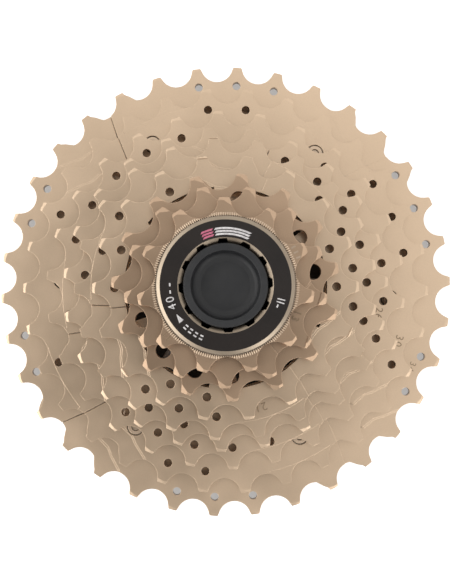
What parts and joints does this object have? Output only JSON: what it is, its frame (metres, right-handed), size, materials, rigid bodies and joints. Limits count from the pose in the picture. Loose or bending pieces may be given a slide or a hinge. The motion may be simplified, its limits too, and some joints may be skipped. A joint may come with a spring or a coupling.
{
  "type": "cassette sprocket",
  "caption": "Stack of nine toothed steel sprockets on riveted carriers and a splined sleeve, held by a notched screw lockring, for driving a bicycle wheel by chain.",
  "frame": {"origin": "on the cassette's axis, in the rear face of the rear carrier's hub, the plane the part stands on", "axes": "+Z along the axis from the largest sprocket to the lockring; X and Y in the plane of the sprockets"},
  "size_m": [0.1392, 0.139, 0.0401],
  "materials": {
    "sprocket_steel": "satin champagne nickel plate",
    "carrier_alloy": "satin",
    "spacer_alloy": "satin",
    "rivet_steel": "satin",
    "washer_steel": "satin",
    "lockring_alloy": "satin black face, bare champagne rim",
    "sleeve_plastic": "matte",
    "plug_plastic": "matte"
  },
  "bodies": {
    "rear_cluster": {"carrier_rear": "carrier_alloy", "sprocket_34t": "sprocket_steel", "sprocket_30t": "sprocket_steel", "rivets_outer": "rivet_steel"},
    "sleeve": {"shipping_sleeve": "sleeve_plastic"},
    "front_cluster": {"carrier_front": "carrier_alloy", "sprocket_26t": "sprocket_steel", "sprocket_23t": "sprocket_steel", "rivets_inner": "rivet_steel"},
    "spacer_a": {"spacer_23_21": "spacer_alloy"},
    "ring_21t": {"sprocket_21t": "sprocket_steel"},
    "spacer_b": {"spacer_21_18": "spacer_alloy"},
    "ring_18t": {"sprocket_18t": "sprocket_steel"},
    "spacer_c": {"spacer_18_15": "spacer_alloy"},
    "ring_15t": {"sprocket_15t": "sprocket_steel"},
    "ring_13t": {"sprocket_13t": "sprocket_steel"},
    "ring_11t": {"sprocket_11t": "sprocket_steel"},
    "washer": {"lockring_washer": "washer_steel"},
    "lockring_body": {"lockring": "lockring_alloy"},
    "plug": {"retaining_plug": "plug_plastic"}
  },
  "joints": [
    {"name": "sleeve_slide", "type": "slide", "parent": "rear_cluster", "child": "sleeve", "axis": [0, 0, 1], "range_m": [0, 0.04]},
    {"name": "front_cluster_slide", "type": "slide", "parent": "sleeve", "child": "front_cluster", "axis": [0, 0, 1], "range_m": [0, 0.028]},
    {"name": "spacer_a_slide", "type": "slide", "parent": "front_cluster", "child": "spacer_a", "axis": [0, 0, 1], "range_m": [0, 0.021]},
    {"name": "ring_21t_slide", "type": "slide", "parent": "spacer_a", "child": "ring_21t", "axis": [0, 0, 1], "range_m": [0, 0.019]},
    {"name": "spacer_b_slide", "type": "slide", "parent": "ring_21t", "child": "spacer_b", "axis": [0, 0, 1], "range_m": [0, 0.017]},
    {"name": "ring_18t_slide", "type": "slide", "parent": "spacer_b", "child": "ring_18t", "axis": [0, 0, 1], "range_m": [0, 0.014]},
    {"name": "spacer_c_slide", "type": "slide", "parent": "ring_18t", "child": "spacer_c", "axis": [0, 0, 1], "range_m": [0, 0.012]},
    {"name": "ring_15t_slide", "type": "slide", "parent": "spacer_c", "child": "ring_15t", "axis": [0, 0, 1], "range_m": [0, 0.01]},
    {"name": "ring_13t_slide", "type": "slide", "parent": "ring_15t", "child": "ring_13t", "axis": [0, 0, 1], "range_m": [0, 0.008]},
    {"name": "ring_11t_slide", "type": "slide", "parent": "ring_13t", "child": "ring_11t", "axis": [0, 0, 1], "range_m": [0, 0.004]},
    {"name": "lockring_travel", "type": "slide", "parent": "ring_11t", "child": "washer", "axis": [0, 0, 1], "range_m": [0, 0.0075]},
    {"name": "lockring_turn", "type": "hinge", "parent": "washer", "child": "lockring_body", "pos_m": [0, 0, 0.0385], "axis": [0, 0, 1], "range_deg": [0, 2520]},
    {"name": "plug_slide", "type": "slide", "parent": "sleeve", "child": "plug", "axis": [0, 0, 1], "range_m": [0, 0.019]}
  ],
  "couplings": [
    {"joint": "lockring_travel", "follows": "lockring_turn", "m_per_rad": 0.00016843}
  ]
}
